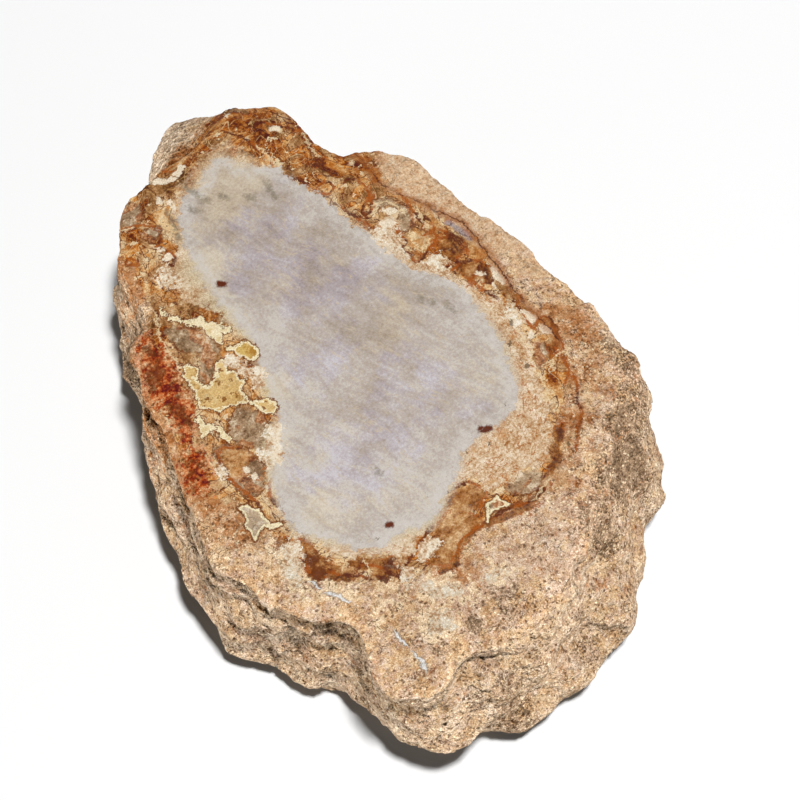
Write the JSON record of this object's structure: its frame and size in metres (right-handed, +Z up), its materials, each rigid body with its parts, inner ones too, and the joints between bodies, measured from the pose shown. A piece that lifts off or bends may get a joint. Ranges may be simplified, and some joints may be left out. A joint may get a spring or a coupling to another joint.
{
  "type": "petrified wood specimen",
  "caption": "Hand specimen of petrified wood: a short piece of silicified log with a rough outside, a polished cut face and a flat sawn underside, for display.",
  "frame": {"origin": "middle of the bounding box, on the sawn underside that the stone lies on", "axes": "+Z up, out of the polished face; +Y along the long way of the face, towards its narrow end; +X across it"},
  "size_m": [0.0728, 0.1066, 0.024],
  "materials": {
    "petrified_wood": "polished agate face, rough tan rind"
  },
  "bodies": {
    "root": {"petrified_wood": "petrified_wood"}
  },
  "joints": []
}
